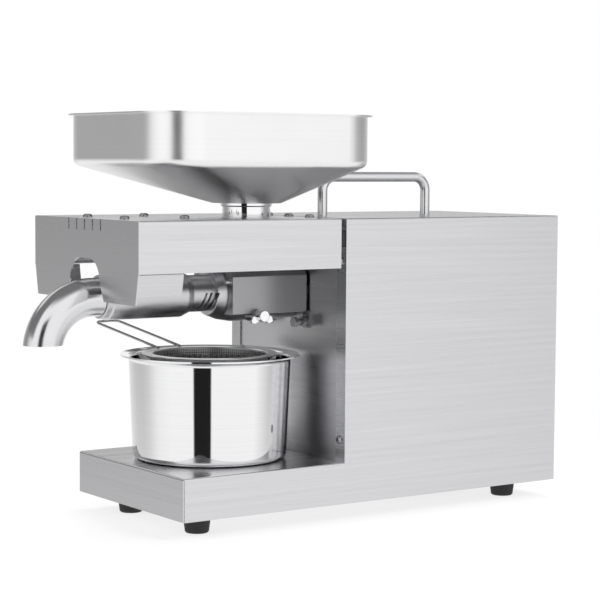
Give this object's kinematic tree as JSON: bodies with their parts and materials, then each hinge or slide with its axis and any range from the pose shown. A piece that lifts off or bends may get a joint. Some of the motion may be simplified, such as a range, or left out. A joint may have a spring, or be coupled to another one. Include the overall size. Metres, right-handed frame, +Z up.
{
  "type": "screw oil press",
  "caption": "Tabletop screw press for seed oil: hopper, heated slotted barrel under a hood, cake elbow, geared motor in a steel case, and an oil pot with strainer.",
  "frame": {"origin": "middle of the bounding box of the whole press at rest, in the plane that the feet stand on", "axes": "+X from the cake spout to the motor end, +Y to the side away from the clamp screw, +Z up"},
  "size_m": [0.4745, 0.2181, 0.3304],
  "materials": {
    "sheet_steel": "brushed stainless sheet",
    "panel_steel": "brushed stainless sheet in the shade of the hood",
    "polished_steel": "mirror polished stainless",
    "spun_steel": "satin polished stainless",
    "turned_steel": "fine turned stainless",
    "mesh_steel": "woven stainless wire cloth",
    "wire_steel": "drawn bright wire",
    "screw_steel": "plain stainless fasteners",
    "bearing_steel": "ground steel",
    "gear_steel": "hobbed steel, oiled",
    "bronze": "turned bronze",
    "cast_aluminium": "die cast",
    "motor_paint": "black enamel on steel",
    "black_rubber": "moulded rubber",
    "black_plastic": "moulded nylon",
    "rocker_plastic": "moulded, gloss",
    "circuit_board": "glass-epoxy laminate with parts"
  },
  "bodies": {
    "machine": {"rear_casing": "sheet_steel", "base_cover": "sheet_steel", "base_plate": "sheet_steel", "rear_panel": "sheet_steel", "front_hood": "sheet_steel", "hood_frame": "sheet_steel", "front_panel": "panel_steel", "carry_handle": "polished_steel", "feed_throat": "polished_steel", "press_barrel": "turned_steel", "feed_block": "turned_steel", "heater_rods": "turned_steel", "hood_screws": "screw_steel", "strip_screws": "screw_steel", "rear_panel_screws": "screw_steel", "foot_screws": "screw_steel", "handle_nuts": "screw_steel", "tie_bolts": "screw_steel", "lock_tabs": "screw_steel", "cover_bolts": "screw_steel", "board_standoffs": "screw_steel", "spindle_bearings": "bearing_steel", "motor_bearings": "bearing_steel", "idler_shaft": "bearing_steel", "gearbox_housing": "cast_aluminium", "gearbox_cover": "cast_aluminium", "motor_end_bell": "cast_aluminium", "run_capacitor": "cast_aluminium", "motor_housing": "motor_paint", "motor_cradle": "motor_paint", "foot_front_near": "black_rubber", "foot_front_far": "black_rubber", "foot_rear_near": "black_rubber", "foot_rear_far": "black_rubber", "hood_buffers": "black_rubber", "power_inlet": "black_plastic", "switch_bezels": "black_plastic", "thermostat": "black_plastic", "control_board": "circuit_board"},
    "cap_nut": {"cap_nut": "turned_steel"},
    "residue_chute": {"residue_chute": "polished_steel"},
    "screw_line": {"press_screw": "turned_steel", "drive_spindle": "turned_steel", "thrust_washer": "bronze", "output_gear": "gear_steel"},
    "idler": {"idler_gear": "gear_steel"},
    "rotor": {"motor_rotor": "bearing_steel", "motor_pinion": "gear_steel", "cooling_fan": "black_plastic"},
    "clamp_screw": {"clamp_screw": "polished_steel"},
    "hopper": {"hopper": "spun_steel", "hopper_neck": "polished_steel"},
    "oil_pot": {"oil_pot": "polished_steel"},
    "strainer": {"strainer_ring": "spun_steel", "strainer_mesh": "mesh_steel", "strainer_handle": "wire_steel"},
    "motor_rocker": {"motor_rocker": "rocker_plastic"},
    "heater_rocker": {"heater_rocker": "rocker_plastic"}
  },
  "joints": [
    {"name": "rotor_spin", "type": "hinge", "parent": "machine", "child": "rotor", "pos_m": [0.0448, -0.018, 0.10175], "axis": [1, 0, 0], "continuous": true},
    {"name": "idler_spin", "type": "hinge", "parent": "machine", "child": "idler", "pos_m": [0.0448, -0.018, 0.13775], "axis": [1, 0, 0], "continuous": true},
    {"name": "screw_spin", "type": "hinge", "parent": "machine", "child": "screw_line", "pos_m": [0.0448, -0.018, 0.185], "axis": [1, 0, 0], "continuous": true},
    {"name": "cap_nut_turn", "type": "hinge", "parent": "machine", "child": "cap_nut", "pos_m": [-0.1332, -0.018, 0.185], "axis": [1, 0, 0], "range_deg": [-180, 180]},
    {"name": "chute_swivel", "type": "hinge", "parent": "machine", "child": "residue_chute", "pos_m": [-0.1732, -0.018, 0.185], "axis": [1, 0, 0], "range_deg": [-90, 90]},
    {"name": "clamp_turn", "type": "hinge", "parent": "machine", "child": "clamp_screw", "pos_m": [-0.0428, -0.054, 0.1674], "axis": [0, 1, 0], "range_deg": [0, 720]},
    {"name": "hopper_lift", "type": "slide", "parent": "machine", "child": "hopper", "axis": [0, 0, 1], "range_m": [0, 0.12]},
    {"name": "pot_slide", "type": "slide", "parent": "machine", "child": "oil_pot", "axis": [0, 1, 0], "range_m": [0, 0.18]},
    {"name": "strainer_lift", "type": "slide", "parent": "oil_pot", "child": "strainer", "axis": [0, 0, 1], "range_m": [0, 0.016]},
    {"name": "motor_rocker_tilt", "type": "hinge", "parent": "machine", "child": "motor_rocker", "pos_m": [0.2286, 0.008, 0.0954], "axis": [0, 1, 0], "range_deg": [-9, 9]},
    {"name": "heater_rocker_tilt", "type": "hinge", "parent": "machine", "child": "heater_rocker", "pos_m": [0.2286, 0.032, 0.0954], "axis": [0, 1, 0], "range_deg": [0, 18]}
  ],
  "couplings": [
    {"joint": "idler_spin", "follows": "rotor_spin", "ratio": -0.2},
    {"joint": "screw_spin", "follows": "rotor_spin", "ratio": 0.057143}
  ]
}
